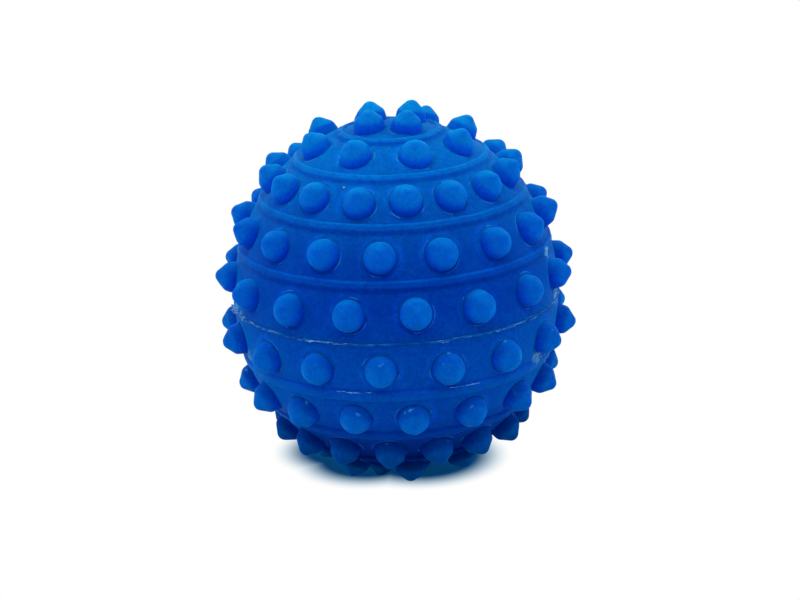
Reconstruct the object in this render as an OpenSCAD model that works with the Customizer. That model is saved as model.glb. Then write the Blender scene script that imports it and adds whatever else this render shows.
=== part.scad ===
// Hollow soft-vinyl sensory ball: two half shells joined at the equator,
// solid cone-topped nubs seated on the skin in ten rows, and a needle valve
// at the bottom pole. It stands on the four bottom nubs, +Z up, in millimetres.

/* [Body] */
// Width of the bare skin across the equator
body_w = 90; // [84:1:112]
// Height of the bare skin from pole to pole
body_h = 97; // [90:1:120]
// Thickness of the hollow wall
wall = 2.6; // [2:0.1:3.6]
// Height of the inner tongue that laps the joint of the two halves
lap_h = 2.4; // [1.2:0.1:4]

/* [Raised rings] */
// Width of each raised ring, foot to foot
ring_w = 3.5; // [2.4:0.1:4.4]
// Height of each raised ring above the skin
ring_h = 0.5; // [0.2:0.05:0.9]
// Width of the gentle slope on the ring's pole side
ring_slope_w = 1.3; // [0.4:0.1:1.6]
// Width of the steep slope on the ring's equator side
ring_step_w = 0.4; // [0.2:0.05:0.7]

/* [Seam] */
// Width of the bead of flash along the joint
bead_w = 1.4; // [0.8:0.1:2]
// Height of the bead above the skin
bead_h = 0.4; // [0.2:0.05:0.8]

/* [Nubs] */
// Diameter of a nub where it meets the skin
nub_base_d = 8.7; // [6:0.1:9]
// Diameter of a nub at its shoulder
nub_top_d = 8.1; // [6.6:0.1:8.6]
// Height of a nub's round side, skin to shoulder
nub_side_h = 2.6; // [1.6:0.1:3.4]
// Height of a nub from the skin to its tip
nub_h = 5.4; // [4.4:0.1:6.4]
// Radius of the rounded tip
nub_tip_r = 2.1; // [0.6:0.05:2.4]
// Radius that softens the shoulder
nub_edge_r = 1.5; // [0.3:0.05:2]
// Turn of the whole nub pattern about the pole axis, in degrees
pattern_turn = 6; // [0:1:22]
// Turn of the lower half's pattern against the upper half's, in degrees
half_turn = 10.25; // [0:0.25:22.5]

/* [Valve] */
// Diameter of the valve's neck, and of its hole in the lower half
neck_d = 4.8; // [4.2:0.1:5.2]
// Thickness of the wall where the valve is seated
pad_t = 4; // [3.6:0.1:5]
// Diameter of the flat pad inside the wall
pad_d = 14; // [12.6:0.1:16]
// Diameter of the housing's flange
flange_d = 12; // [10:0.1:12.4]
// Thickness of the housing's flange
flange_t = 1.6; // [1:0.1:2.4]
// Diameter of the housing's barrel
barrel_d = 8.4; // [6.8:0.1:9.6]
// Height of the housing's barrel past the flange
barrel_h = 4.4; // [3.6:0.1:7]
// Diameter of the core, and of its seat in the housing
core_d = 3.6; // [3.2:0.1:3.9]
// Diameter of the core's inner head
head_d = 6.4; // [5:0.1:6.6]
// Thickness of the core's inner head
head_t = 1.5; // [1:0.1:2.5]
// Diameter of the hole that takes the inflating needle
needle_d = 2.4; // [1.8:0.1:2.6]
// Depth of the needle hole from its mouth
needle_depth = 8; // [6:0.1:8.8]
// Depth and width of the bevel that guides the needle in
lead_in = 0.3; // [0.1:0.05:0.3]

/* [Hidden] */
$fn = 96;

// Nubs in each row of one half, from the equator to the pole
nubs_in_row = [16, 16, 16, 8, 4];
// Turn of each of those rows in the two halves, as shares of the full rows' pitch
upper_turn_share = [0, 0.5, 0, 0.5, 1.5];
lower_turn_share = [0, 0.5, 0, -0.5, 0.5];

bands = len(nubs_in_row);
band_angle = 90 / bands;
full_pitch = 360 / nubs_in_row[0];
// Straight steps of the outline along each bare band of skin
band_steps = 4;
// Straight steps of a rounded nub edge, and of its tip
edge_steps = 2;
tip_steps = 4;

a = body_w / 2;
c = body_h / 2;
// A nub reaches this far under its foot before the skin trims it
nub_root = wall / 2;

// A point of the skin at a latitude, raised by h
function skin(lat, h = 0) = [(a + h) * cos(lat), (c + h) * sin(lat)];
// A point of the inner wall at a latitude
function inner(lat) = [(a - wall) * cos(lat), (c - wall) * sin(lat)];
// The latitude that a width along the skin takes up
function width_angle(w) = w / (a + c) * 360 / PI;

// Edges of the raised ring around a latitude, foot and top on each side
ring_half = width_angle(ring_w / 2);
function ring_lat(k) = k * band_angle;
function ring_foot_low(k) = ring_lat(k) - ring_half;
function ring_foot_high(k) = ring_lat(k) + ring_half;
function ring_top(k) = [
    skin(ring_foot_low(k) + width_angle(ring_step_w), ring_h),
    skin(ring_foot_high(k) - width_angle(ring_slope_w), ring_h)
];

// Bare skin of band k, from one ring's foot to the next, or to an end latitude
function band_start(k) = k == 0 ? 0 : ring_foot_high(k);
function band_end(k, last) = k == bands - 1 ? last : ring_foot_low(k + 1);
function band_skin(k, last = 90) = [
    for (i = [0:band_steps])
        skin(band_start(k) + (band_end(k, last) - band_start(k)) * i / band_steps)
];

// The whole outer outline of a half, from the equator up to an end latitude
function outer_outline(last = 90) = [
    for (k = [0:bands - 1])
        for (p = concat(k == 0 ? [] : ring_top(k), band_skin(k, last)))
            p
];

// The inner wall's outline between two latitudes
inner_steps = bands * band_steps;
function inner_outline(from, to) = [
    for (i = [0:inner_steps])
        inner(from + (to - from) * i / inner_steps)
];

// Where the two halves meet: the tongue's radius and its tip's latitude
lap_r = a - wall / 2;
lap_lat = asin(lap_h / (c - wall));

// Levels and latitudes of the valve's seat, measured up from the ball's middle
// as if the valve were at the top pole
neck_lat = acos(neck_d / 2 / a);
mouth_z = skin(neck_lat)[1];
pad_z = c - pad_t;
pad_lat = acos(pad_d / 2 / (a - wall));
flange_z = pad_z - flange_t;
barrel_z = flange_z - barrel_h;
head_z = barrel_z - head_t;
needle_z = mouth_z - needle_depth;

// The lowest points of the bottom nubs rest on the floor
row_lat_end = (bands - 0.5) * band_angle;
stand_z = (c + nub_h - nub_tip_r) * sin(row_lat_end) + nub_tip_r;

skin_colour = [0.0, 0.35, 0.73];
nub_colour = [0.02, 0.47, 0.90];
seam_colour = [0.45, 0.68, 0.88];
valve_colour = [0.0, 0.24, 0.55];
core_colour = [0.12, 0.14, 0.18];

// Puts the ball on the floor; lower parts are drawn upside down
module stand() {
    translate([0, 0, stand_z]) children();
}

module lower_side() {
    stand() mirror([0, 0, 1]) children();
}

module upper_half_shell() {
    color(skin_colour)
    stand()
    rotate_extrude()
    polygon(concat(
        outer_outline(),
        inner_outline(90, lap_lat),
        [[lap_r, lap_h], [lap_r, 0]]
    ));
}

module lower_half_shell() {
    color(skin_colour)
    lower_side()
    rotate_extrude()
    polygon(concat(
        outer_outline(neck_lat),
        [[neck_d / 2, pad_z], [pad_d / 2, pad_z]],
        inner_outline(pad_lat, -lap_lat),
        [[lap_r, -lap_h], [lap_r, 0]]
    ));
}

// Radius of the skin's first straight step at a height from the equator
first_step = band_skin(0)[1];
function seam_r(z) = a + (first_step[0] - a) * abs(z) / first_step[1];
bead_steps = 6;

module seam_bead() {
    ridge = [
        for (i = [0:bead_steps])
            let (t = 180 * i / bead_steps, z = -bead_w / 2 * cos(t))
            [seam_r(z) + bead_h * sin(t), z]
    ];
    color(seam_colour)
    stand()
    rotate_extrude()
    polygon(concat(ridge, [[a, 0]]));
}

// Half angle of the cone, found so that the rounded tip is nub_h high
cone_r = nub_top_d / 2;
cone_h = nub_h - nub_side_h;
cone_span = sqrt(cone_r * cone_r + pow(cone_h - nub_tip_r, 2));
cone_lean = atan((cone_h - nub_tip_r) / cone_r) + asin(nub_tip_r / cone_span);
side_lean = atan((nub_base_d - nub_top_d) / 2 / nub_side_h);

// The shoulder arc touches the side and the cone
shoulder_half = (90 - cone_lean - side_lean) / 2;
shoulder_out = nub_edge_r / cos(shoulder_half);
shoulder_dir = side_lean + shoulder_half;
shoulder_c = [cone_r - shoulder_out * cos(shoulder_dir), nub_side_h - shoulder_out * sin(shoulder_dir)];

function arc(centre, r, from, to, n) = [
    for (i = [0:n])
        let (t = from + (to - from) * i / n)
        centre + r * [cos(t), sin(t)]
];

// A nub on its own axis, with its foot at z = 0 and its root below
module nub() {
    root_r = nub_base_d / 2 + nub_root * tan(side_lean);
    rotate_extrude()
    polygon(concat(
        [[0, -nub_root], [root_r, -nub_root]],
        arc(shoulder_c, nub_edge_r, side_lean, 90 - cone_lean, edge_steps),
        arc([0, nub_h - nub_tip_r], nub_tip_r, 90 - cone_lean, 90, tip_steps)
    ));
}

// The space inside the skin under row k, with the rings beside it
module under_skin(k) {
    rotate_extrude()
    polygon(concat(
        [[0, 0]],
        k == 0 ? [] : ring_top(k),
        band_skin(k),
        k == bands - 1 ? [] : ring_top(k + 1)
    ));
}

// Row k of a half, counted from the equator; each nub's foot follows the skin
module nub_row(k, turn) {
    lat = (k + 0.5) * band_angle;
    first = turn - 90;
    color(nub_colour)
    for (i = [0:nubs_in_row[k] - 1])
        rotate([0, 0, first + i * 360 / nubs_in_row[k]])
        difference() {
            translate([a * cos(lat), 0, c * sin(lat)])
            rotate([0, 90 - lat, 0])
            nub();
            under_skin(k);
        }
}

module upper_row(k) {
    stand() nub_row(k, pattern_turn + upper_turn_share[k] * full_pitch);
}

module lower_row(k) {
    turn = pattern_turn + half_turn;
    lower_side() nub_row(k, turn + lower_turn_share[k] * full_pitch);
}

module valve_housing() {
    color(valve_colour)
    lower_side()
    rotate_extrude()
    polygon([
        [core_d / 2, mouth_z],
        [neck_d / 2, mouth_z],
        [neck_d / 2, pad_z],
        [flange_d / 2, pad_z],
        [flange_d / 2, flange_z],
        [barrel_d / 2, flange_z],
        [barrel_d / 2, barrel_z],
        [core_d / 2, barrel_z]
    ]);
}

module valve_core() {
    color(core_colour)
    lower_side()
    rotate_extrude()
    polygon([
        [needle_d / 2 + lead_in, mouth_z],
        [core_d / 2, mouth_z],
        [core_d / 2, barrel_z],
        [head_d / 2, barrel_z],
        [head_d / 2, head_z],
        [0, head_z],
        [0, needle_z],
        [needle_d / 2, needle_z],
        [needle_d / 2, mouth_z - lead_in]
    ]);
}

upper_half_shell();
lower_half_shell();
seam_bead();
upper_row(4);  // nub_row_1_top
upper_row(3);  // nub_row_2
upper_row(2);  // nub_row_3
upper_row(1);  // nub_row_4
upper_row(0);  // nub_row_5
lower_row(0);  // nub_row_6
lower_row(1);  // nub_row_7
lower_row(2);  // nub_row_8
lower_row(3);  // nub_row_9
lower_row(4);  // nub_row_10_bottom
valve_housing();
valve_core();
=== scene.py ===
"""Looks of the sensory ball: moulded skin, nubs, seam flash and valve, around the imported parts."""

import math
import random

import bmesh
import bpy
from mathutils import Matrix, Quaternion, Vector, noise


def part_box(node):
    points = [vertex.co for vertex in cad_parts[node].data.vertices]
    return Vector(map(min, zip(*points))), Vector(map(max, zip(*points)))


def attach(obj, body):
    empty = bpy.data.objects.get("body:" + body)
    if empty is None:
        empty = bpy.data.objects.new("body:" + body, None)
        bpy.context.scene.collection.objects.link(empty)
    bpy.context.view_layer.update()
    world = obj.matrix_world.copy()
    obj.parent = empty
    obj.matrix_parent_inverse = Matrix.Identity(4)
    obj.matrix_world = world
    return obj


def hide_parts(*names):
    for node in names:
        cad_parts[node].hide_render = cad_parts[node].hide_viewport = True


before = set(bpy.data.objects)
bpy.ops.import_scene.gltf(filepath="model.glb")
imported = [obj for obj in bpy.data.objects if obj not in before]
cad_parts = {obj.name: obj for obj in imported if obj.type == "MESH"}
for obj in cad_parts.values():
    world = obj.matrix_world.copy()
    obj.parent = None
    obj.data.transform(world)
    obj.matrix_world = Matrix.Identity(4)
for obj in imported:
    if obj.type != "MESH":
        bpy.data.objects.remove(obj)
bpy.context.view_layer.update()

# Every length below is in millimetres until a mesh, lamp or camera is made
MM = 0.001

# The bare skin's half width, half height and middle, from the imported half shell
shell_low, shell_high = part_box("upper_half_shell")
HALF_W = shell_high.x / MM
MIDDLE = shell_low.z / MM
HALF_H = shell_high.z / MM - MIDDLE
MEAN_R = (HALF_W + HALF_H) / 2
WALL = 2.6
LAP_H = 2.4

# The pattern: bands of skin in each half, and the nubs in each, from the equator to the pole
NUBS_IN_ROW = (16, 16, 16, 8, 4)
UPPER_TURN_SHARES = (0, 0.5, 0, 0.5, 1.5)
LOWER_TURN_SHARES = (0, 0.5, 0, -0.5, 0.5)
BANDS = len(NUBS_IN_ROW)
BAND_ANGLE = 90 / BANDS
FULL_PITCH = 360 / NUBS_IN_ROW[0]
PATTERN_TURN = 6
HALF_TURN = 10.25
BAND_W = math.radians(BAND_ANGLE) * MEAN_R

# A raised ring. It rises over STEP_W on the equator's side and falls over SLOPE_W on the pole's;
# the upper half's have thin lines along the pole's side, the lower half's a groove on the equator's
RING_W = 3.5
RING_H = 0.5
RING_SLOPE_W = 0.7
UPPER_STEP_W = 1.7
LOWER_STEP_W = 1.1
GROOVE_W = 0.8
GROOVE_D = 0.08
LINE_W = 0.9
LINE_H = 0.11
LINE_STEP_SHARE = 1.5
SECOND_LINE_H_SHARE = 0.4
RING_WANDER = 0.14
RING_WAVES = 5
RING_H_WANDER_SHARE = 0.3
RING_H_WAVES = 7

# Unevenness, as the length of its waves and their height
SKIN_WAVES = ((14, 0.1), (3, 0.03))
NUB_WAVES = ((1.7, 0.05), (4, 0.06))

# A nub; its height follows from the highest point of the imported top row
NUB_BASE_R = 4.3
NUB_TOP_R = 3.85
NUB_SIDE_H = 2.6
NUB_TIP_R = 2.1
NUB_EDGE_R = 2.1
NUB_FOOT_R = 0.28
NUB_ROOT = 1.2
NUB_HUG_H = 0.6 * NUB_SIDE_H
NUB_FOOT_START = math.radians(258)
NUB_WALL_SHARES = (0.3, 0.6)
NUB_CONE_SHARES = (0.25, 0.5, 0.75)
NUB_TIP_RISE = 0.03
# The row over the bottom one is rubbed a little shorter
LOW_ROW = 2 * BANDS - 1
LOW_ROW_TALL_SHARE = 0.9
POLE_ROW_LAT = math.radians((BANDS - 0.5) * BAND_ANGLE)
TOP_ROW_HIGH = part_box("nub_row_1_top")[1].z / MM
NUB_H = (TOP_ROW_HIGH - MIDDLE - NUB_TIP_R) / math.sin(POLE_ROW_LAT) - HALF_H + NUB_TIP_R

# How far the nubs stray, as standard deviations
PLACE_STRAY = 0.2
TILT_STRAY = math.radians(1.2)
WIDE_STRAY_SHARE = 0.012
TALL_STRAY_SHARE = 0.02
LEAN_STRAY = 0.13
POLE_COS_LEAST = 0.3

# The thin line that each nub's mould insert left on the skin around it
WITNESS_GAP = 0.68
WITNESS_W = 0.24
WITNESS_H = 0.07
WITNESS_OUTLINE_SHARES = ((-0.5, -1), (-0.35, 0.6), (0, 1), (0.35, 0.6), (0.5, -1))
WITNESS_SUNK_SHARE = 1.2
WITNESS_WAVES = 1.2
WITNESS_SHOWN = (0.02, 0.25)

# How finely the meshes are divided
SKIN_TURNS = 384
INNER_ROWS = 20
RING_STEP_ROWS = 0.16
BAND_STEP_ROWS = 1.1
NUB_TURNS = 44
FOOT_STEPS = 4
EDGE_STEPS = 6
WITNESS_TURNS = 56
BEAD_TURNS = 720


def ramp(x, start, end):
    """0 before start, 1 after end, smooth between."""
    t = min(max((x - start) / (end - start), 0), 1)
    return t * t * (3 - 2 * t)


def hump(x, width):
    """1 at x = 0, smoothly down to 0 half a width away."""
    t = min(abs(2 * x / width), 1)
    return (1 - t * t) ** 2


def from_front(degrees):
    """Azimuth in radians of an angle counted from the side that the camera sees, + towards +X."""
    return math.radians(degrees - 90)


def wander(angle, seed, waves):
    """Slow waves that close on themselves around the ball, -1 to 1; more waves are shorter ones."""
    around = Vector((math.cos(angle), math.sin(angle), 0))
    return noise.noise(around * waves + Vector((0, 0, seed)))


def waved(angle, value, *waves):
    """A value with slow waves on it, each given as its seed, how many waves and their strength."""
    for seed, count, strength in waves:
        value += strength * wander(angle, seed, count)
    return value


def unevenness(place, waves):
    return sum(high * noise.noise(place / long) for long, high in waves)


def bare_point(lat, az, lift=0):
    """A point over the bare skin; lat and az in radians, lift in millimetres."""
    flat = (HALF_W + lift) * math.cos(lat)
    return Vector((
        flat * math.cos(az),
        flat * math.sin(az),
        MIDDLE + (HALF_H + lift) * math.sin(lat),
    ))


def ring_lift(along, height, side):
    """Height over the bare skin at a distance from a ring's middle, counted towards the pole."""
    foot = RING_W / 2
    rise = ramp(along, -foot, (UPPER_STEP_W if side > 0 else LOWER_STEP_W) - foot)
    fall = 1 - ramp(along, foot - RING_SLOPE_W, foot)
    if side > 0:
        off = along - (foot - RING_SLOPE_W)
        second = SECOND_LINE_H_SHARE * hump(off + LINE_STEP_SHARE * LINE_W, LINE_W)
        lines = LINE_H * (hump(off, LINE_W) + second)
    else:
        lines = -GROOVE_D * hump(along + foot, GROOVE_W)
    return height * min(rise, fall) + lines


def skin_lift(lat, az):
    """Height of the moulded skin over the bare one."""
    up = abs(lat)
    k = round(math.degrees(up) / BAND_ANGLE)
    side = 1 if lat > 0 else -1
    lift = unevenness(bare_point(lat, az), SKIN_WAVES)
    if 0 < k < BANDS:
        along = (up - math.radians(k * BAND_ANGLE)) * MEAN_R
        along += RING_WANDER * wander(az, side * k, RING_WAVES)
        high = RING_H * (1 + RING_H_WANDER_SHARE * wander(az, 10 + side * k, RING_H_WAVES))
        lift += ring_lift(along, high, side)
    return lift


def skin_point(lat, az, lift=0):
    return bare_point(lat, az, skin_lift(lat, az) + lift)


def where_on_skin(point):
    """Latitude, azimuth and height over the moulded skin of any point close to it."""
    flat = math.hypot(point.x, point.y)
    lat = math.atan2((point.z - MIDDLE) / HALF_H, flat / HALF_W)
    az = math.atan2(point.y, point.x)
    on_skin = skin_point(lat, az)
    middle = Vector((0, 0, MIDDLE))
    return lat, az, (point - middle).length - (on_skin - middle).length


def onto_skin(point, axis, lift):
    """Slides a point along an axis until it lies lift above the moulded skin."""
    for _ in range(4):
        point = point - axis * (where_on_skin(point)[2] - lift)
    return point


class Surface:
    """Gathers closed surfaces, each through rings of points, and makes them one object."""

    def __init__(self):
        self.points = []
        self.faces = []
        self.slots = []
        self.values = {}

    def add(self, rings, start=None, end=None, loop=False, slot=0, **values):
        """start and end are single points that close the surface; loop joins its last ring to its
        first. Each value is one number for the whole surface, or a list with one for each ring."""
        count = len(rings[0])
        rows = [[start]] if start else []
        rows += [list(r) for r in rings]
        rows += [[end]] if end else []
        at = []
        for row in rows:
            at.append(len(self.points))
            self.points += row
        pairs = list(zip(range(len(rows) - 1), range(1, len(rows))))
        if loop:
            pairs.append((len(rows) - 1, 0))
        for i, j in pairs:
            for n in range(count):
                m = (n + 1) % count
                first = [at[i] + n, at[i] + m] if len(rows[i]) > 1 else [at[i]]
                second = [at[j] + m, at[j] + n] if len(rows[j]) > 1 else [at[j]]
                self.faces.append(tuple(first + second))
                self.slots.append(slot)
        for name, given in values.items():
            held = self.values.setdefault(name, {})
            for i, row in enumerate(rows):
                one = given[i] if isinstance(given, list) else given
                for n in range(len(row)):
                    held[at[i] + n] = one

    def build(self, name, materials, nodes=()):
        mesh = bpy.data.meshes.new(name)
        mesh.from_pydata([p * MM for p in self.points], [], self.faces)
        mesh.polygons.foreach_set("material_index", self.slots)
        mesh.polygons.foreach_set("use_smooth", [True] * len(self.faces))
        for key, held in self.values.items():
            attribute = mesh.attributes.new(key, "FLOAT", "POINT")
            attribute.data.foreach_set("value", [held.get(i, 0.0) for i in range(len(self.points))])
        bm = bmesh.new()
        bm.from_mesh(mesh)
        bmesh.ops.recalc_face_normals(bm, faces=bm.faces)
        bm.to_mesh(mesh)
        bm.free()
        for material in materials:
            mesh.materials.append(material)
        piece = bpy.data.objects.new(name, mesh)
        bpy.context.scene.collection.objects.link(piece)
        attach(piece, "root")
        if nodes:
            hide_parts(*nodes)
        return piece


def rows_of_nubs(side):
    """For each band of a half, from the equator: its nubs' latitude and azimuths, in radians."""
    turn = PATTERN_TURN + (0 if side > 0 else HALF_TURN)
    shares = UPPER_TURN_SHARES if side > 0 else LOWER_TURN_SHARES
    rows = []
    for k, count in enumerate(NUBS_IN_ROW):
        first = turn + shares[k] * FULL_PITCH - 90
        lat = side * (k + 0.5) * BAND_ANGLE
        azimuths = [math.radians(first + i * 360 / count) for i in range(count)]
        rows.append((math.radians(lat), azimuths))
    return rows


class Nub:
    """One nub, a little off its place and out of true as the real ones are."""

    def __init__(self, lat, az, tall, luck):
        self.lat = lat + luck.gauss(0, PLACE_STRAY) / MEAN_R
        self.az = az + luck.gauss(0, PLACE_STRAY) / (HALF_W * math.cos(lat))
        up = lat + luck.gauss(0, TILT_STRAY)
        around = az + luck.gauss(0, TILT_STRAY) / max(math.cos(lat), POLE_COS_LEAST)
        flat = math.cos(up)
        self.axis = Vector((flat * math.cos(around), flat * math.sin(around), math.sin(up)))
        self.across = Vector((-math.sin(around), math.cos(around), 0))
        self.along = self.axis.cross(self.across)
        self.foot = bare_point(self.lat, self.az)
        self.wide = 1 + luck.gauss(0, WIDE_STRAY_SHARE)
        self.tall = (1 + luck.gauss(0, TALL_STRAY_SHARE)) * tall
        self.lean = (luck.gauss(0, LEAN_STRAY), luck.gauss(0, LEAN_STRAY))
        self.tint = luck.random()

    def direction(self, turn):
        return self.across * math.cos(turn) + self.along * math.sin(turn)

    def skin_ring(self, radius, lifts):
        """A ring of points around the foot, each its own lift above the skin."""
        points = []
        for i, lift in enumerate(lifts):
            flat = self.foot + self.direction(math.tau * i / len(lifts)) * radius
            points.append(onto_skin(flat, self.axis, lift))
        return points

    def ring(self, radius, height, hug):
        """A ring at a height on the nub's axis; hug is how much of the skin's shape it takes on."""
        share = height / NUB_H
        lean = [far * share * share for far in self.lean]
        off = self.across * lean[0] + self.along * lean[1]
        points = []
        for i in range(NUB_TURNS):
            out = self.direction(math.tau * i / NUB_TURNS)
            flat = self.foot + out * (radius * self.wide)
            free = flat + self.axis * (height * self.tall) + off
            free += (out + self.axis * share) * unevenness(free, NUB_WAVES)
            if hug > 0:
                held = onto_skin(flat, self.axis, 0) + self.axis * height
                free = free.lerp(held, hug)
            points.append(free)
        return points


def arc(middle, radius, start, end, steps):
    """Points of an arc, angles in radians."""
    return [
        (middle[0] + radius * math.cos(start + (end - start) * i / steps),
         middle[1] + radius * math.sin(start + (end - start) * i / steps))
        for i in range(steps + 1)
    ]


def nub_outline():
    """(radius, height) from the foot's root to just beside the tip."""
    cone_h = NUB_H - NUB_SIDE_H
    span = math.hypot(NUB_TOP_R, cone_h - NUB_TIP_R)
    cone_lean = math.atan2(cone_h - NUB_TIP_R, NUB_TOP_R) + math.asin(NUB_TIP_R / span)
    side_lean = math.atan2(NUB_BASE_R - NUB_TOP_R, NUB_SIDE_H)
    half = (math.pi / 2 - cone_lean - side_lean) / 2
    out = NUB_EDGE_R / math.cos(half)
    corner = side_lean + half
    edge = (NUB_TOP_R - out * math.cos(corner), NUB_SIDE_H - out * math.sin(corner))
    fillet = (NUB_BASE_R + NUB_FOOT_R, NUB_FOOT_R)
    cone_start = math.pi / 2 - cone_lean
    foot = arc(fillet, NUB_FOOT_R, NUB_FOOT_START, math.pi, FOOT_STEPS)
    shoulder = arc(edge, NUB_EDGE_R, side_lean, cone_start, EDGE_STEPS)
    tip = arc((0, NUB_H - NUB_TIP_R), NUB_TIP_R, cone_start, math.pi / 2, EDGE_STEPS)[:-1]
    lower = [between(foot[-1], shoulder[0], share) for share in NUB_WALL_SHARES]
    upper = [between(shoulder[-1], tip[0], share) for share in NUB_CONE_SHARES]
    return [(NUB_BASE_R, -NUB_ROOT)] + foot + lower + shoulder + upper + tip


def between(p, q, share):
    return tuple(a + (b - a) * share for a, b in zip(p, q))


NUB_OUTLINE = nub_outline()


def add_nub(surface, nub):
    rings = [nub.ring(r, z, 1 - ramp(z, 0, NUB_HUG_H)) for r, z in NUB_OUTLINE]
    root = nub.foot - nub.axis * NUB_ROOT
    tip = sum(rings[-1], Vector()) / NUB_TURNS + nub.axis * NUB_TIP_RISE
    heights = [0] + [max(z, 0) / NUB_H for _, z in NUB_OUTLINE] + [1]
    surface.add(rings, start=root, end=tip, rise=[float(h) for h in heights], tint=nub.tint)


def add_witness(surface, nub, slot):
    """A thin ridge on the skin around a nub, sunk out of sight on part of the way."""
    radius = NUB_BASE_R * nub.wide + WITNESS_GAP
    turns = [math.tau * i / WITNESS_TURNS for i in range(WITNESS_TURNS)]
    shown = [ramp(wander(t, 100 * nub.tint, WITNESS_WAVES), *WITNESS_SHOWN) for t in turns]
    rings = []
    for x, z in WITNESS_OUTLINE_SHARES:
        lifts = [WITNESS_H * (z * share - WITNESS_SUNK_SHARE * (1 - share)) for share in shown]
        rings.append(nub.skin_ring(radius + x * WITNESS_W, lifts))
    surface.add(rings, loop=True, slot=slot)


def skin_latitudes(last):
    """Latitudes of a half's mesh rings, closer together at the raised rings than between them."""
    lats = []
    reach = RING_W / 2 + GROOVE_W
    ring_rows = round(2 * reach / RING_STEP_ROWS)
    band_rows = round((BAND_W - 2 * reach) / BAND_STEP_ROWS)
    for k in range(BANDS):
        start = 0 if k == 0 else k * BAND_W + reach
        end = (k + 1) * BAND_W - (reach if k < BANDS - 1 else 0)
        steps = band_rows * (1 if 0 < k < BANDS - 1 else 2)
        lats += [start + (end - start) * i / steps for i in range(steps)]
        if k < BANDS - 1:
            lats += [end + 2 * reach * i / ring_rows for i in range(ring_rows)]
    return [s / MEAN_R for s in lats if s / MEAN_R < last]


# What the skin's material reads: how far the painted light around a nub's foot reaches, how strong
# the painted shades under a nub and beside a ring are, and where a ring's painted highlight on its
# raised back begins and ends from its feet
FOOT_LIGHT_REACH = 2.4
FOOT_SHADE_SHARE = 0.6
RING_SHADE_SHARE = 0.4
RING_SHADE_W_SHARE = 1.6
RING_HIGHLIGHT_RISE = (0.6, 2.35)
RING_HIGHLIGHT_FALL = (0.5, 0.2)


def beside_nub(lat, az, rows):
    """1 at a nub's foot to 0 on the open skin, and how far below the nub that place is, 0 to 1."""
    row_lat, azimuths = rows[min(int(math.degrees(abs(lat)) / BAND_ANGLE), BANDS - 1)]
    off = min(abs((az - a + math.pi) % math.tau - math.pi) for a in azimuths)
    down = (row_lat - lat) * MEAN_R
    away = math.hypot(down, off * HALF_W * math.cos(lat))
    return 1 - ramp(away - NUB_BASE_R, 0, FOOT_LIGHT_REACH), min(max(down / max(away, 1), 0), 1)


def ring_shade(lat):
    """How strong the painted shade on a ring's equator side is, 0 on the open skin."""
    ring, along = ring_place(lat)
    if not 0 < ring < BANDS or (lat < 0 and ring == BANDS - 1):
        return 0
    wide, middle = (UPPER_STEP_W, UPPER_STEP_W / 2) if lat > 0 else (GROOVE_W, 0)
    return RING_SHADE_SHARE * hump(along + RING_W / 2 - middle, RING_SHADE_W_SHARE * wide)


def ring_place(lat):
    """The nearest ring's number from the equator, and the distance polewards from its middle."""
    ring = round(math.degrees(abs(lat)) / BAND_ANGLE)
    return ring, abs(lat) * MEAN_R - ring * BAND_W


def ring_highlight_at(lat):
    """Painted highlight: 1 on the thin line of a ring, less on its raised back, 0 on the open skin.
    """
    ring, along = ring_place(lat)
    foot = RING_W / 2
    rise = ramp(along, RING_HIGHLIGHT_RISE[0] - foot, RING_HIGHLIGHT_RISE[1] - foot)
    fall = 1 - ramp(along, foot - RING_HIGHLIGHT_FALL[0], foot + RING_HIGHLIGHT_FALL[1])
    line = hump(along - foot + RING_SLOPE_W, LINE_W) if lat > 0 else 0
    return (min(rise, fall) + line) / 2 if 0 < ring < BANDS else 0


# Where the skin is rubbed pale: latitude and angle from the front, and radius
SCUFFS = (
    (2, -77, 4),
    (0, -70, 2.5),
    (-13, -70, 3.5),
    (16.5, 71, 3),
    (1.5, 75, 4.5),
    (-14.5, 59, 4),
    (-30, 160, 3),
    (25, 200, 4),
)


def scuff_at(lat, az):
    """1 in the middle of a scuff, 0 on the open skin."""
    worn = 0
    for place, angle, radius in SCUFFS:
        off = (az - from_front(angle) + math.pi) % math.tau - math.pi
        away = math.hypot((lat - math.radians(place)) * MEAN_R, off * HALF_W * math.cos(lat))
        worn = max(worn, 1 - ramp(away, 0, radius))
    return worn


def skin_values(side, lats, azimuths, first):
    """What the skin's material reads at the outer points, which start with the number first."""
    rows = rows_of_nubs(side)
    values = {"foot": {}, "painted_shade": {}, "ring_highlight": {}, "scuff": {}}
    at = first
    for lat in reversed(lats):
        for az in azimuths:
            near, below = beside_nub(side * lat, az, rows)
            # Painted light around the nubs' feet, painted shade under the nubs and beside the rings,
            # the rings' painted highlight, and scuffs
            values["foot"][at] = near
            values["painted_shade"][at] = max(FOOT_SHADE_SHARE * near * below, ring_shade(side * lat))
            values["ring_highlight"][at] = ring_highlight_at(side * lat)
            values["scuff"][at] = scuff_at(side * lat, az)
            at += 1
    return values


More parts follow.
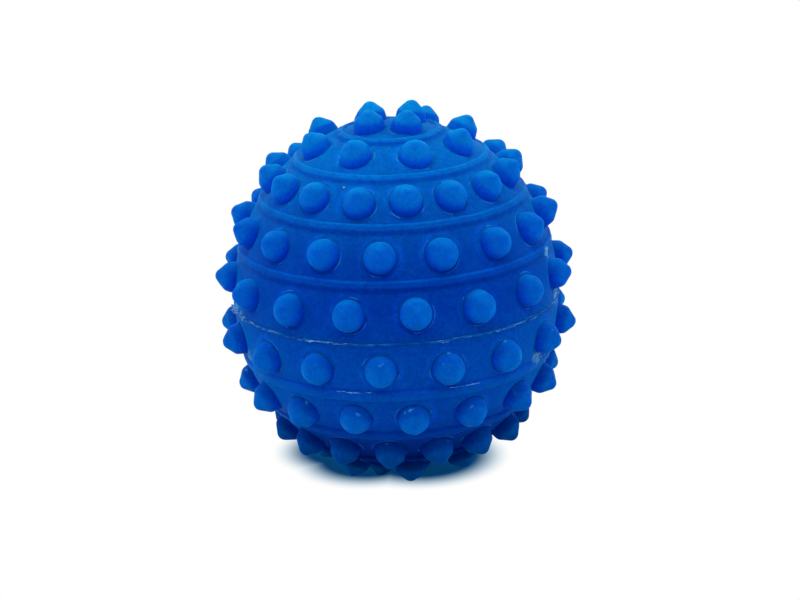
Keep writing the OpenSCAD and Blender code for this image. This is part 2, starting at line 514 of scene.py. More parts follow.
def half_shell(name, side, node, nubs):
    """A closed hollow half: moulded outside, plain inside, with the lap at the equator."""
    surface = Surface()
    azimuths = [math.tau * i / SKIN_TURNS for i in range(SKIN_TURNS)]

    def level(radius, height):
        z = MIDDLE + side * height
        return [Vector((radius * math.cos(a), radius * math.sin(a), z)) for a in azimuths]

    def inner(lat):
        return level((HALF_W - WALL) * math.cos(lat), (HALF_H - WALL) * math.sin(lat))

    upper = side > 0
    last = math.pi / 2 if upper else math.acos(NECK_R / HALF_W)
    lats = skin_latitudes(last)
    outside = [[skin_point(side * lat, a) for a in azimuths] for lat in lats]
    lap = LAP_H if upper else -LAP_H
    lap_r = HALF_W - WALL / 2
    lap_lat = math.asin(lap / (HALF_H - WALL))
    inner_last = math.pi / 2 if upper else math.acos(PAD_R / (HALF_W - WALL))
    inside = [inner(lap_lat + (inner_last - lap_lat) * i / INNER_ROWS) for i in range(INNER_ROWS)]
    joint = [level(lap_r, 0), level(lap_r, lap)]
    rings = outside[::-1] + joint + inside
    if upper:
        surface.add(rings, start=skin_point(math.pi / 2, 0), end=inner(math.pi / 2)[0])
    else:
        seat = [level(PAD_R, HALF_H - PAD_T), level(NECK_R, HALF_H - PAD_T), level(NECK_R, MOUTH_H)]
        surface.add(rings + seat, loop=True)
    surface.values.update(skin_values(side, lats, azimuths, first=1 if upper else 0))
    for nub in nubs:
        add_witness(surface, nub, 1)
    return surface.build(name, [skin_vinyl, witness_vinyl], [node])


# The valve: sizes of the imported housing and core
house_low, house_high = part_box("valve_housing")
core_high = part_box("valve_core")[1]
MOUTH_H = MIDDLE - house_low.z / MM
FLANGE_R = house_high.x / MM
BARREL_TOP = MIDDLE - house_high.z / MM
HEAD_R = core_high.x / MM
HEAD_TOP = MIDDLE - core_high.z / MM
NECK_R = 2.4
PAD_R = 7
PAD_T = 4
FLANGE_T = 1.6
BARREL_R = 4.2
CORE_R = 1.8
NEEDLE_R = 1.2
NEEDLE_DEPTH = 8
NEEDLE_END_SHARE = 0.6
BEVEL = 0.25
BEVEL_MOST_SHARE = 0.3
VALVE_TURNS = 64


def softened(outline, bevel):
    """Each corner of a closed outline cut back into three points."""
    points = []
    for i, here in enumerate(outline):
        for other in (outline[i - 1], outline[(i + 1) % len(outline)]):
            length = math.dist(here, other)
            points.append(between(here, other, min(bevel / length, BEVEL_MOST_SHARE)))
        before, after = points[-2:]
        points.insert(-1, tuple((2 * h + a + b) / 4 for h, a, b in zip(here, before, after)))
    return points


def turned(name, outline, material, node, closed=True):
    """A lathe-turned piece of the valve; its outline is (radius, height towards the bottom)."""
    surface = Surface()

    def level(radius, height):
        return [
            Vector((radius * math.cos(a), radius * math.sin(a), MIDDLE - height))
            for a in [math.tau * i / VALVE_TURNS for i in range(VALVE_TURNS)]
        ]

    rings = [level(r, z) for r, z in outline]
    if closed:
        surface.add(rings, loop=True)
    else:
        first, last = outline[0][1], outline[-1][1]
        surface.add(rings, start=Vector((0, 0, MIDDLE - first)), end=Vector((0, 0, MIDDLE - last)))
    return surface.build(name, [material], [node])


def make_valve():
    pad_h = HALF_H - PAD_T
    housing = [
        (CORE_R, MOUTH_H),
        (NECK_R, MOUTH_H),
        (NECK_R, pad_h),
        (FLANGE_R, pad_h),
        (FLANGE_R, pad_h - FLANGE_T),
        (BARREL_R, pad_h - FLANGE_T),
        (BARREL_R, BARREL_TOP),
        (CORE_R, BARREL_TOP),
    ]
    turned("valve_seat", softened(housing, BEVEL), valve_rubber, "valve_housing")
    needle_end = MOUTH_H - NEEDLE_DEPTH
    core = [
        (NEEDLE_R * NEEDLE_END_SHARE, needle_end),
        (NEEDLE_R, needle_end + BEVEL),
        (NEEDLE_R, MOUTH_H - BEVEL * 2),
        (NEEDLE_R + BEVEL, MOUTH_H - BEVEL),
        (CORE_R - BEVEL / 2, MOUTH_H),
        (CORE_R, MOUTH_H - BEVEL / 2),
        (CORE_R, BARREL_TOP),
        (HEAD_R - BEVEL, BARREL_TOP),
        (HEAD_R, BARREL_TOP - BEVEL),
        (HEAD_R, HEAD_TOP + BEVEL),
        (HEAD_R - BEVEL, HEAD_TOP),
    ]
    turned("valve_plug", core, core_rubber, "valve_core", closed=False)


# The seam: a low uneven ridge, and torn flash on some stretches of it
BEAD_W = 1.0
BEAD_H = 0.22
BEAD_OUTLINE_SHARES = (
    (-0.5, -0.6),
    (-0.36, 0.35),
    (-0.16, 0.85),
    (0.05, 1),
    (0.24, 0.7),
    (0.4, 0.25),
    (0.5, -0.6),
)
# What the ridge's height and width are multiplied by, and how far it lies off the seam, each with
# the waves on it
BEAD_H_SHARE = (0.75, (31, 9, 0.5), (32, 40, 0.35))
BEAD_W_SHARE = (0.85, (33, 12, 0.4))
BEAD_OFF = (0, (34, 6, 0.22), (35, 30, 0.1))
# Stretches of flash: the two ends, the height and how densely it stands; angles are from the front
FLASH_STRETCHES = (
    (-81, -68, 1.1, 3.4),
    (-69, -44, 0.5, 1.2),
    (-44, -31, 0.2, 0.6),
    (-31, -18, 0.55, 1.8),
    (-18, 12, 0.14, 0.3),
    (14, 36, 0.25, 0.9),
    (36, 46, 0.4, 1.3),
    (46, 88, 0.3, 1.2),
    (100, 128, 0.35, 0.9),
    (150, 176, 0.25, 0.7),
    (190, 214, 0.45, 1.0),
    (236, 262, 0.25, 0.7),
)
# The same on the step of the first raised ring under the seam
LOWER_STRETCHES = (
    (-21, -8, 0.12, 0.8),
    (20, 28, 0.14, 1.0),
    (58, 70, 0.2, 0.9),
    (130, 150, 0.2, 0.9),
)
# How far the slivers of flash stray from the seam and from that step, and their least and most
# length, thickness, height and distance
SEAM_STRAY = 0.18
STEP_STRAY = 0.06
SLIVER_L = (1.2, 4.6)
SLIVER_T = (0.07, 0.13)
SLIVER_H_SHARES = (0.5, 1.3)
SLIVER_STEP_SHARES = (0.35, 0.9)
SLIVER_SLOPE_STRAY = 0.02
SLIVER_FOLD_MOST = 0.5
SLIVER_WANDER = 0.1
SLIVER_ROOT = 0.15
SLIVER_BEND_SHARE = 0.7
SLIVER_FOOT_SHARE = 1.6
SLIVER_RING_STEP = 0.22
SLIVER_END_POWER = 0.6
# The torn edge: how fine its teeth are, its middle height, their strength and its least height
SLIVER_TEETH = 4
SLIVER_EDGE_SHARE = 0.6
SLIVER_TEETH_SHARE = 1.1
SLIVER_LEAST_SHARE = 0.05


def make_bead():
    surface = Surface()
    rings = []
    for i in range(BEAD_TURNS):
        az = math.tau * i / BEAD_TURNS
        high = BEAD_H * waved(az, *BEAD_H_SHARE)
        wide = BEAD_W * waved(az, *BEAD_W_SHARE)
        off = waved(az, *BEAD_OFF)
        outline = [((off + x * wide) / MEAN_R, z * high) for x, z in BEAD_OUTLINE_SHARES]
        rings.append([skin_point(lat, az, lift) for lat, lift in outline])
    surface.add(rings, loop=True)
    return surface.build("seam_ridge", [seam_vinyl], ["seam_bead"])


def add_sliver(surface, lat, az, length, height, luck):
    """A thin torn blade that stands on the skin, longest along the seam."""
    steps = round(length / SLIVER_RING_STEP)
    thick = luck.uniform(*SLIVER_T)
    slope = luck.gauss(0, SLIVER_SLOPE_STRAY)
    fold = luck.uniform(-SLIVER_FOLD_MOST, SLIVER_FOLD_MOST)
    seed = luck.uniform(0, 1000)
    rings = []
    for i in range(1, steps):
        along = (i / steps - 0.5) * length
        share = math.sin(math.pi * i / steps) ** SLIVER_END_POWER
        teeth = SLIVER_TEETH_SHARE * noise.noise(Vector((along * SLIVER_TEETH, seed, 0)))
        high = height * share * max(SLIVER_EDGE_SHARE + teeth, SLIVER_LEAST_SHARE)
        stray = SLIVER_WANDER * noise.noise(Vector((along, seed, 5)))
        here_lat = lat + (along * slope + stray) / MEAN_R
        here_az = az + along / (HALF_W * math.cos(lat))
        bend = fold * high
        half = thick * (0.5 + 0.5 * share) / 2
        foot, side = half * SLIVER_FOOT_SHARE, high * SLIVER_BEND_SHARE
        blade = ((bend - half, side), (bend, high), (bend + half, side))
        outline = ((-foot, -SLIVER_ROOT), *blade, (foot, -SLIVER_ROOT))
        rings.append([skin_point(here_lat + x / MEAN_R, here_az, z) for x, z in outline])
    half_angle = length / 2 / (HALF_W * math.cos(lat))
    slant = length / 2 * slope / MEAN_R
    surface.add(
        rings,
        start=skin_point(lat - slant, az - half_angle),
        end=skin_point(lat + slant, az + half_angle),
    )


def make_flash():
    surface = Surface()
    luck = random.Random(11)
    ring_step = -math.radians(BAND_ANGLE) + (RING_W / 2 - LOWER_STEP_W / 2) / MEAN_R
    for stretches, base_lat, stray in (
        (FLASH_STRETCHES, 0, SEAM_STRAY),
        (LOWER_STRETCHES, ring_step, STEP_STRAY),
    ):
        for start, end, high, filled in stretches:
            at = start
            while at < end:
                length = luck.uniform(*SLIVER_L)
                height = high * luck.uniform(*SLIVER_H_SHARES)
                lat = base_lat + luck.gauss(0, stray) / MEAN_R
                add_sliver(surface, lat, from_front(at), length, height, luck)
                step = math.degrees(length / HALF_W)
                at += step * luck.uniform(*SLIVER_STEP_SHARES) / filled
    return surface.build("seam_flash_slivers", [flash_vinyl])


# Specks of stray vinyl on the skin: latitude and angle from the front, and radius
SPECKS = ((50.5, -26, 0.32), (31, 150, 0.3), (-40, 120, 0.35), (60, 210, 0.3))
SPECK_LIFT_SHARE = 0.3
SPECK_ROUGH_SHARE = 0.5
SPECK_WAVE = 1.5
SPECK_TURNS = 12
SPECK_ROWS = 6


def make_specks():
    surface = Surface()
    for lat, angle, radius in SPECKS:
        middle = skin_point(math.radians(lat), from_front(angle), radius * SPECK_LIFT_SHARE)

        def spot(i, n):
            down, around = math.pi * i / SPECK_ROWS, math.tau * n / SPECK_TURNS
            flat = math.sin(down)
            out = Vector((flat * math.cos(around), flat * math.sin(around), math.cos(down)))
            rough = SPECK_ROUGH_SHARE * noise.noise(middle + out * SPECK_WAVE)
            return middle + out * radius * (1 + rough)

        rings = [[spot(i, n) for n in range(SPECK_TURNS)] for i in range(1, SPECK_ROWS)]
        surface.add(rings, start=spot(0, 0), end=spot(SPECK_ROWS, 0))
    return surface.build("skin_specks", [flash_vinyl])


# Materials

def colour(r, g, b):
    """A linear colour."""
    return (r, g, b, 1)


# Soft vinyl is nearly matt, and scatters blue light furthest
SPECULAR = 0.01
SPECULAR_TINT = colour(0.0, 0.6, 1.0)
SCATTER_REACH = (0.1, 0.5, 1.0)
SHEEN = 0.1
SHEEN_ROUGH = 0.45
SHEEN_TINT = colour(0.0, 0.42, 0.75)
SKIN_SHEEN = 0.35
NUB_SHEEN = 0.2

# Heights over the floor, in millimetres, between which the shine sets in, the lower half's painted
# shade and glints on the nubs turn into the upper half's painted highlight, and the top row's
# painted wall shade sets in
SHINE_STARTS = (15, 30)
HALVES_MEET = (45, 60)
TOP_ROW_STARTS = (98, 100)

# The vinyl's colours by the height over the floor in millimetres, with the light and shade that fall
# on each height painted in: darkest at the bottom, where the ball stands in its own shadow
SKIN_TONE_AND_PAINTED_LIGHT = (
    (15, colour(0.0001, 0.018, 0.19)),
    (23, colour(0.0002, 0.048, 0.42)),
    (30, colour(0.0003, 0.098, 0.62)),
    (44, colour(0.0003, 0.112, 0.60)),
    (62, colour(0.0002, 0.058, 0.45)),
    (74, colour(0.0003, 0.066, 0.42)),
    (82, colour(0.0005, 0.090, 0.43)),
    (97, colour(0.0006, 0.145, 0.50)),
    (102, colour(0.0006, 0.098, 0.42)),
)
NUB_TONE_AND_PAINTED_LIGHT = (
    (2, colour(0.0001, 0.240, 0.70)),
    (7, colour(0.0001, 0.110, 0.38)),
    (16, colour(0.0003, 0.085, 0.35)),
    (22, colour(0.0004, 0.125, 0.55)),
    (30, colour(0.0006, 0.175, 0.70)),
    (45, colour(0.0006, 0.182, 0.74)),
    (62, colour(0.0007, 0.172, 0.76)),
    (80, colour(0.0008, 0.172, 0.77)),
    (106, colour(0.0012, 0.300, 0.87)),
)
SCUFF_COLOUR = colour(0.110, 0.390, 0.74)
SCUFF_MOST = 0.85
SCUFF_EDGE = (0.1, 0.4)
# Painted glints of light on the lower nubs' upper sides
GLINT_COLOUR = colour(0.06, 0.36, 0.75)
GLINT_MOST = 0.6

NOISE_ROUGH = 0.55
# Patches: their size in millimetres, their detail, and the noise's range that makes them
GRAIN = (0.7, 3, 0.35, 0.65)
SKIN_CLOUD = (14, 3)
SKIN_MOTTLE = (1.6, 5)
SKIN_WEAR = (2.2, 5)
NUB_MOTTLE = (1.4, 5, 0.35)
NUB_GLINTS = (2.6, 1, 0.66, 0.72)
NUB_WEAR = (1.1, 4)
RUBBER_GRAIN = (1.5, 5)
# Bumps: their size in millimetres, their detail and their height in millimetres
SKIN_BUMPS = ((0.9, 4, 0.08), (0.25, 2, 0.02))
NUB_BUMPS = ((0.7, 4, 0.06), (0.2, 2, 0.02))
RUBBER_BUMPS = ((0.5, 3, 0.02),)
# Roughness, least and most
SKIN_ROUGH = (0.42, 0.6)
NUB_ROUGH = (0.45, 0.62)
PALE_ROUGH = (0.5, 0.75)

# Tints that the skin's and the nubs' colours are multiplied by: random tone, and painted light and
# shade on the rings, around and under the nubs, and on the nubs' walls, sides and tops
SKIN_CLOUD_TINT = colour(1, 0.86, 0.94)
SKIN_MOTTLE_TINT = colour(1, 0.72, 0.87)
SKIN_GRAIN_TINT = colour(1, 0.76, 0.88)
RING_HIGHLIGHT_TINT = colour(1, 1.45, 1.12)
SKIN_FOOT_LIGHT_TINT = colour(1, 1.5, 1.6)
PAINTED_SHADE_TINT = colour(1, 0.3, 0.86)
SINGLE_NUB_TINT = colour(1, 0.86, 0.94)
NUB_MOTTLE_TINT = colour(1, 0.84, 0.94)
NUB_GRAIN_TINT = colour(1, 0.82, 0.92)
NUB_WALL_SHADE_TINT = colour(0.3, 0.33, 0.92)
TOP_WALL_SHADE_TINT = colour(1, 0.74, 1)
UPPER_SIDE_SHADE_TINT = colour(1, 0.62, 0.63)
TOP_HIGHLIGHT_TINT = colour(1, 1.3, 1)
TOP_SHADE_TINT = colour(1, 0.76, 0.98)

# Where the painted shade on the nubs' walls lies: low and high of a nub's height as a share, and
# what the tint goes from and to between them
WALL_FADES = (0.05, 0.62, 1, 0)
TOP_WALL_STARTS = (0.05, 0.35, 0.2, 1)
TOP_WALL_ENDS = (0.4, 0.52, 1, 0)
# The same for the z of a surface's normal, for the painted shade, highlights and glints
WALL_TURNS_UP = (0.2, 0.9, 1, 0.1)
UPPER_SIDE = (-0.3, 0.5)
BRIGHT_TOP = (0.65, 0.95)
DULL_TOP = (0.45, 0.75)
GLINT_SIDE = (0.35, 0.8)


def shader(name):
    material = bpy.data.materials.new(name)
    material.use_nodes = True
    return material, material.node_tree, material.node_tree.nodes["Principled BSDF"]


def add_node(tree, kind, **sockets):
    made = tree.nodes.new(kind)
    for key, value in sockets.items():
        made.inputs[key.replace("_", " ")].default_value = value
    return made


def noise_field(tree, size, detail):
    """Noise whose features are about size millimetres wide."""
    place = tree.nodes.new("ShaderNodeTexCoord")
    field = add_node(
        tree, "ShaderNodeTexNoise", Scale=1 / (size * MM), Detail=detail, Roughness=NOISE_ROUGH
    )
    tree.links.new(place.outputs["Object"], field.inputs["Vector"])
    return field.outputs["Fac"]


def attribute(tree, name):
    """A value that the mesh carries."""
    made = tree.nodes.new("ShaderNodeAttribute")
    made.attribute_name = name
    return made.outputs["Fac"]


def mapped(tree, value, low, high, to_low=0, to_high=1):
    """Moves a value's range from low..high to to_low..to_high, and no further."""
    made = add_node(tree, "ShaderNodeMapRange")
    for i, number in enumerate((low, high, to_low, to_high)):
        made.inputs[i + 1].default_value = number
    tree.links.new(value, made.inputs[0])
    return made.outputs[0]


def feed(tree, value, socket):
    """Gives a socket a number, a colour or another node's output."""
    if isinstance(value, bpy.types.NodeSocket):
        tree.links.new(value, socket)
    else:
        socket.default_value = value


def mixed(tree, share, first, second, blend="MIX"):
    """Mixes two colours; each is a colour or another node's output."""
    made = tree.nodes.new("ShaderNodeMix")
    made.data_type = "RGBA"
    made.blend_type = blend
    for i, value in ((0, share), (6, first), (7, second)):
        feed(tree, value, made.inputs[i])
    return made.outputs[2]


def vertical(tree, output):
    """The z part of the place on the object, or of its normal."""
    place = tree.nodes.new("ShaderNodeTexCoord")
    axes = tree.nodes.new("ShaderNodeSeparateXYZ")
    tree.links.new(place.outputs[output], axes.inputs[0])
    return axes.outputs["Z"]


def above(tree, low, high, under=0, over=1):
    """Goes from under to over between two heights over the floor, in millimetres."""
    return mapped(tree, vertical(tree, "Object"), low * MM, high * MM, under, over)


def facing_up(tree, low, high, under=0, over=1):
    """Goes from under to over between two values of the normal's z."""
    return mapped(tree, vertical(tree, "Normal"), low, high, under, over)


def patches(tree, size, detail, low=0.3, high=0.7):
    """Soft patches about size millimetres wide, 0 to 1."""
    return mapped(tree, noise_field(tree, size, detail), low, high)


def graded(tree, value, stops):
    """A colour that changes with a value; stops are (value, colour), lowest first."""
    made = tree.nodes.new("ShaderNodeValToRGB")
    span = stops[-1][0]
    tree.links.new(mapped(tree, value, 0, span, 0, 1), made.inputs[0])
    held = made.color_ramp.elements
    while len(held) < len(stops):
        held.new(0.5)
    for element, (place, shade) in zip(held, stops):
        element.position = place / span
        element.color = shade
    return made.outputs[0]


def by_height(tree, stops):
    """A colour that changes with the height over the floor; stops are (millimetres, colour)."""
    return graded(tree, vertical(tree, "Object"), [(height * MM, shade) for height, shade in stops])


def calculated(tree, operation, first, second):
    """The result of a sum on two values; each is a number or another node's output."""
    made = tree.nodes.new("ShaderNodeMath")
    made.operation = operation
    for i, value in enumerate((first, second)):
        feed(tree, value, made.inputs[i])
    return made.outputs[0]


def multiplied(tree, first, second):
    return calculated(tree, "MULTIPLY", first, second)


def tinted(tree, base, share, shade):
    """Multiplies a colour by another, in full where share is 1."""
    return mixed(tree, share, base, shade, "MULTIPLY")


def bumped(tree, principled, bumps):
    """Stacks bumps; each is its size, detail and height."""
    last = None
    for size, detail, height in bumps:
        made = add_node(tree, "ShaderNodeBump", Distance=height * MM, Strength=1)
        tree.links.new(noise_field(tree, size, detail), made.inputs["Height"])
        if last:
            tree.links.new(last, made.inputs["Normal"])
        last = made.outputs["Normal"]
    tree.links.new(last, principled.inputs["Normal"])


def roughened(tree, principled, patch, low, high):
    """Lets the roughness wander between two values."""
    tree.links.new(mapped(tree, patch, 0, 1, low, high), principled.inputs["Roughness"])


def soft_vinyl(principled, scatter, depth):
    """Settings that all the ball's translucent vinyl shares."""
    given = principled.inputs
    given["Subsurface Weight"].default_value = scatter
    given["Subsurface Radius"].default_value = SCATTER_REACH
    given["Subsurface Scale"].default_value = depth * MM
    given["Specular IOR Level"].default_value = SPECULAR
    given["Specular Tint"].default_value = SPECULAR_TINT
    given["Sheen Weight"].default_value = SHEEN
    given["Sheen Roughness"].default_value = SHEEN_ROUGH
    given["Sheen Tint"].default_value = SHEEN_TINT


def fade_shine(tree, principled, sheen):
    """Takes the shine away towards the bottom, where the ball sees only its own dark shade."""
    for name, most in (("Sheen Weight", sheen), ("Specular IOR Level", SPECULAR)):
        tree.links.new(above(tree, *SHINE_STARTS, 0, most), principled.inputs[name])


def make_skin_vinyl():
    material, tree, principled = shader("skin_vinyl")
    soft_vinyl(principled, scatter=0.75, depth=5)
    fade_shine(tree, principled, SKIN_SHEEN)
    mottle = patches(tree, *SKIN_MOTTLE)
    # The colour by height carries painted light and shade
    base = by_height(tree, SKIN_TONE_AND_PAINTED_LIGHT)
    base = tinted(tree, base, patches(tree, *SKIN_CLOUD), SKIN_CLOUD_TINT)
    base = tinted(tree, base, mottle, SKIN_MOTTLE_TINT)
    base = tinted(tree, base, patches(tree, *GRAIN), SKIN_GRAIN_TINT)
    # Painted highlight on the rings, painted light around the nubs' feet, and painted shade under
    # the nubs and beside the rings
    base = tinted(tree, base, attribute(tree, "ring_highlight"), RING_HIGHLIGHT_TINT)
    base = tinted(tree, base, attribute(tree, "foot"), SKIN_FOOT_LIGHT_TINT)
    base = tinted(tree, base, attribute(tree, "painted_shade"), PAINTED_SHADE_TINT)
    worn = multiplied(tree, attribute(tree, "scuff"), mottle)
    base = mixed(tree, mapped(tree, worn, *SCUFF_EDGE, 0, SCUFF_MOST), base, SCUFF_COLOUR)
    tree.links.new(base, principled.inputs["Base Color"])
    roughened(tree, principled, patches(tree, *SKIN_WEAR), *SKIN_ROUGH)
    bumped(tree, principled, SKIN_BUMPS)
    return material


def make_nub_vinyl():
    material, tree, principled = shader("nub_vinyl")
    soft_vinyl(principled, scatter=0.8, depth=3.5)
    fade_shine(tree, principled, NUB_SHEEN)
    # The colour by height carries painted light and shade
    base = by_height(tree, NUB_TONE_AND_PAINTED_LIGHT)
    base = tinted(tree, base, attribute(tree, "tint"), SINGLE_NUB_TINT)
    base = tinted(tree, base, patches(tree, *NUB_MOTTLE), NUB_MOTTLE_TINT)
    base = tinted(tree, base, patches(tree, *GRAIN), NUB_GRAIN_TINT)
    rise = attribute(tree, "rise")
    # Painted shade on the nubs' walls, most where they face away from the light
    wall = mapped(tree, rise, *WALL_FADES)
    away_from_light = facing_up(tree, *WALL_TURNS_UP)
    base = tinted(tree, base, multiplied(tree, wall, away_from_light), NUB_WALL_SHADE_TINT)
    # Painted shade on the top row's walls, which hang under the light that its cones catch
    under_cone = multiplied(
        tree, mapped(tree, rise, *TOP_WALL_ENDS), mapped(tree, rise, *TOP_WALL_STARTS)
    )
    top_wall_shade = multiplied(tree, under_cone, above(tree, *TOP_ROW_STARTS))
    base = tinted(tree, base, top_wall_shade, TOP_WALL_SHADE_TINT)
    # Painted shade on the upper sides, which are darkened to look about as light as the undersides
    base = tinted(tree, base, facing_up(tree, *UPPER_SIDE), UPPER_SIDE_SHADE_TINT)
    upper_half = above(tree, *HALVES_MEET)
    lower_half = above(tree, *HALVES_MEET, 1, 0)
    # Painted highlight on the tops of the upper half's nubs, and painted shade on the tops of the
    # lower half's
    top_highlights = multiplied(tree, facing_up(tree, *BRIGHT_TOP), upper_half)
    top_shades = multiplied(tree, facing_up(tree, *DULL_TOP), lower_half)
    base = tinted(tree, base, top_highlights, TOP_HIGHLIGHT_TINT)
    base = tinted(tree, base, top_shades, TOP_SHADE_TINT)
    # Painted glints of light on the upper sides of the lower half's nubs, in a few small patches
    lit = multiplied(tree, facing_up(tree, *GLINT_SIDE), lower_half)
    glints = multiplied(tree, patches(tree, *NUB_GLINTS), lit)
    base = mixed(tree, mapped(tree, glints, 0, 1, 0, GLINT_MOST), base, GLINT_COLOUR)
    tree.links.new(base, principled.inputs["Base Color"])
    roughened(tree, principled, patches(tree, *NUB_WEAR), *NUB_ROUGH)
    bumped(tree, principled, NUB_BUMPS)
    return material


def make_pale_vinyl(name, low, high, scatter, size):
    """Vinyl that a thin edge or a tear has turned paler."""
    material, tree, principled = shader(name)
    soft_vinyl(principled, scatter=scatter, depth=0.8)
    patch = patches(tree, size, 5, 0.35, 0.65)
    tree.links.new(mixed(tree, patch, low, high), principled.inputs["Base Color"])
    roughened(tree, principled, patches(tree, size / 2, 3), *PALE_ROUGH)
    bumped(tree, principled, ((size / 4, 3, 0.03),))
    return material


def make_rubber(name, low, high, rough):
    material, tree, principled = shader(name)
    grain = patches(tree, *RUBBER_GRAIN)
    tree.links.new(mixed(tree, grain, low, high), principled.inputs["Base Color"])
    roughened(tree, principled, grain, *rough)
    bumped(tree, principled, RUBBER_BUMPS)
    return material


skin_vinyl = make_skin_vinyl()
nub_vinyl = make_nub_vinyl()
witness_vinyl = make_pale_vinyl(
    "witness_vinyl", colour(0.0010, 0.090, 0.60), colour(0.035, 0.240, 0.78), scatter=0.3, size=2.5
)
seam_vinyl = make_pale_vinyl(
    "seam_vinyl", colour(0.0004, 0.040, 0.38), colour(0.006, 0.120, 0.48), scatter=0.3, size=3
)
flash_vinyl = make_pale_vinyl(
    "flash_vinyl", colour(0.002, 0.12, 0.50), colour(0.22, 0.50, 0.80), scatter=0, size=1.2
)
valve_rubber = make_rubber(
    "valve_rubber", colour(0.001, 0.05, 0.25), colour(0.002, 0.07, 0.31), rough=(0.38, 0.5)
)
core_rubber = make_rubber(
    "core_rubber", colour(0.02, 0.028, 0.045), colour(0.035, 0.045, 0.065), rough=(0.6, 0.8)
)


# The pieces

def make_ball():
    number = 0
    luck = random.Random(5)
    halves = ((1, "upper_half_shell", "upper_skin"), (-1, "lower_half_shell", "lower_skin"))
    for side, node, name in halves:
        rows = rows_of_nubs(side)
        order = range(BANDS - 1, -1, -1) if side > 0 else range(BANDS)
        nubs = []
        for k in order:
            number += 1
            lat, azimuths = rows[k]
            tall = LOW_ROW_TALL_SHARE if number == LOW_ROW else 1
            row = [Nub(lat, az, tall, luck) for az in azimuths]
            surface = Surface()
            for nub in row:
                add_nub(surface, nub)
            ending = {1: "_top", 2 * BANDS: "_bottom"}.get(number, "")
            surface.build(f"nubs_{number}", [nub_vinyl], [f"nub_row_{number}{ending}"])
            nubs += row
        half_shell(name, side, node, nubs)


make_ball()
make_bead()
make_flash()
make_specks()
make_valve()


# Floor, light and camera

IMAGE_W, IMAGE_H = 800, 600
SENSOR_W = 36
BALL_PIXEL = (396.4, 292.0)
FOCAL_PIXELS = 2189
CAMERA_AWAY = 609
CAMERA_ABOVE = math.radians(17.73)
CAMERA_ROLL = math.radians(-2.35)
MIDDLE_POINT = Vector((0, 0, MIDDLE))
FLOOR_HALF_W = 4000
FLOOR_ROUGH = 0.9
FLOOR_LIT = colour(0.5, 0.5, 0.5)
# The painted shadow's own colour, its painted glow of the light that comes through the vinyl, and
# its painted rim from the core outwards
SHADOW_TINT = colour(0.01, 0.15, 0.36)
SHADOW_GLOW = colour(0.0008, 0.027, 0.082)
SHADOW_RIM = (
    (0, colour(0.001, 0.042, 0.145)),
    (0.05, colour(0.05, 0.125, 0.245)),
    (0.23, colour(0.23, 0.335, 0.435)),
    (0.5, colour(0.5, 0.59, 0.67)),
    (0.75, colour(0.75, 0.815, 0.865)),
    (1, colour(1, 1, 1)),
)
# The painted shadow's lobes, each a disc: x, y and radius
SHADOW_DISCS = ((-9.5, 9.7, 13), (5.6, 9.8, 15), (-16.5, 17.5, 11.1))
SHADOW_SOFT_W = 11.3
SHADOW_CORE_EDGE = (-5, 2)
WORLD_LIT = colour(0.28, 0.28, 0.28)
# Lamps: place from the ball's middle, width and height, and power in watts
LAMPS = {
    "key": ((0, -450, 1000), (1300, 1300), 15),
    "left": ((-1000, 100, 300), (900, 1200), 5.0),
    "right": ((1000, 100, 300), (900, 1200), 4.6),
}


def seen_directly(tree):
    """1 for the camera, reflections and glass, 0 for the light that falls on the ball."""
    path = tree.nodes.new("ShaderNodeLightPath")
    share = path.outputs["Is Camera Ray"]
    for ray in ("Is Glossy Ray", "Is Transmission Ray"):
        share = calculated(tree, "MAXIMUM", share, path.outputs[ray])
    return share


def beyond_shade(tree):
    """The distance outwards from the edge of the nearest disc of painted shadow, negative inside
    one.
    """
    place = tree.nodes.new("ShaderNodeTexCoord")
    nearest = FLOOR_HALF_W * MM
    for x, y, radius in SHADOW_DISCS:
        away = tree.nodes.new("ShaderNodeVectorMath")
        away.operation = "DISTANCE"
        tree.links.new(place.outputs["Object"], away.inputs[0])
        away.inputs[1].default_value = Vector((x, y, 0)) * MM
        beyond = calculated(tree, "SUBTRACT", away.outputs["Value"], radius * MM)
        nearest = calculated(tree, "MINIMUM", nearest, beyond)
    return nearest


def make_floor_with_painted_shadow():
    """White, with a painted shadow under the ball in place of the key's: dark discs with a painted
    glow in them, fading to white through a painted rim.
    """
    material, tree, principled = shader("floor_white")
    principled.inputs["Roughness"].default_value = FLOOR_ROUGH
    principled.inputs["Specular IOR Level"].default_value = 0
    beyond = beyond_shade(tree)
    lit_floor = mapped(tree, beyond, 0, SHADOW_SOFT_W * MM)
    lit_floor.node.interpolation_type = "SMOOTHSTEP"
    direct = seen_directly(tree)
    # The painted shadow also darkens the light that the floor throws back onto the ball
    bounce = mixed(tree, lit_floor, SHADOW_TINT, FLOOR_LIT)
    tree.links.new(mixed(tree, direct, bounce, SHADOW_TINT), principled.inputs["Base Color"])
    principled.inputs["Emission Color"].default_value = SHADOW_GLOW
    tree.links.new(direct, principled.inputs["Emission Strength"])
    white = add_node(tree, "ShaderNodeEmission", Strength=1)
    tree.links.new(graded(tree, lit_floor, SHADOW_RIM), white.inputs["Color"])
    outer = mapped(tree, beyond, *[edge * MM for edge in SHADOW_CORE_EDGE])
    blend = tree.nodes.new("ShaderNodeMixShader")
    tree.links.new(multiplied(tree, direct, outer), blend.inputs[0])
    tree.links.new(principled.outputs[0], blend.inputs[1])
    tree.links.new(white.outputs[0], blend.inputs[2])
    tree.links.new(blend.outputs[0], tree.nodes["Material Output"].inputs["Surface"])
    return material


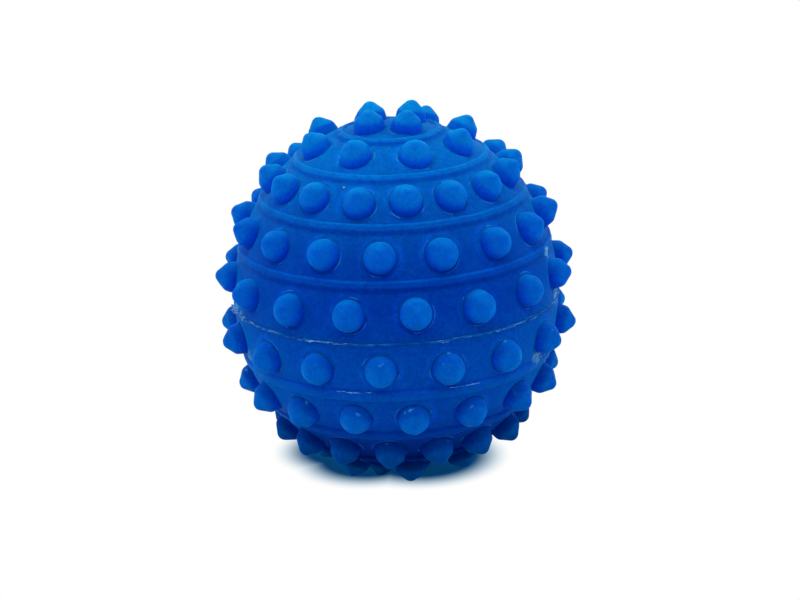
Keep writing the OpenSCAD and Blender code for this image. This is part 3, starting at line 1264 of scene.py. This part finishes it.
def make_floor():
    mesh = bpy.data.meshes.new("floor")
    half = FLOOR_HALF_W * MM
    corners = [(-half, -half, 0), (half, -half, 0), (half, half, 0), (-half, half, 0)]
    mesh.from_pydata(corners, [], [(0, 1, 2, 3)])
    mesh.materials.append(make_floor_with_painted_shadow())
    floor = bpy.data.objects.new("floor", mesh)
    bpy.context.scene.collection.objects.link(floor)


def make_world():
    world = bpy.data.worlds.new("studio")
    bpy.context.scene.world = world
    world.use_nodes = True
    tree = world.node_tree
    seen = mixed(tree, seen_directly(tree), WORLD_LIT, colour(1, 1, 1))
    tree.links.new(seen, tree.nodes["Background"].inputs["Color"])


def softbox(name, place, size, power):
    """A large soft lamp that faces the ball's middle."""
    lamp = bpy.data.lights.new(name, "AREA")
    lamp.shape = "RECTANGLE"
    lamp.size, lamp.size_y = size[0] * MM, size[1] * MM
    lamp.energy = power
    made = bpy.data.objects.new(name, lamp)
    made.location = (Vector(place) + MIDDLE_POINT) * MM
    made.rotation_mode = "QUATERNION"
    made.rotation_quaternion = (-Vector(place)).to_track_quat("-Z", "Y")
    made.visible_camera = False
    bpy.context.scene.collection.objects.link(made)


def make_camera():
    data = bpy.data.cameras.new("camera")
    data.sensor_width = SENSOR_W
    data.lens = FOCAL_PIXELS * SENSOR_W / IMAGE_W
    data.shift_x = (IMAGE_W / 2 - BALL_PIXEL[0]) / IMAGE_W
    data.shift_y = -(IMAGE_H / 2 - BALL_PIXEL[1]) / IMAGE_W
    camera = bpy.data.objects.new("camera", data)
    back = Vector((0, -math.cos(CAMERA_ABOVE), math.sin(CAMERA_ABOVE)))
    camera.location = (MIDDLE_POINT + back * CAMERA_AWAY) * MM
    camera.rotation_mode = "QUATERNION"
    roll = Quaternion((0, 0, 1), CAMERA_ROLL)
    camera.rotation_quaternion = (-back).to_track_quat("-Z", "Y") @ roll
    bpy.context.scene.collection.objects.link(camera)
    bpy.context.scene.camera = camera


make_floor()
make_world()
for lamp_name, settings in LAMPS.items():
    softbox(lamp_name, *settings)
make_camera()
bpy.context.scene.view_settings.view_transform = "Standard"
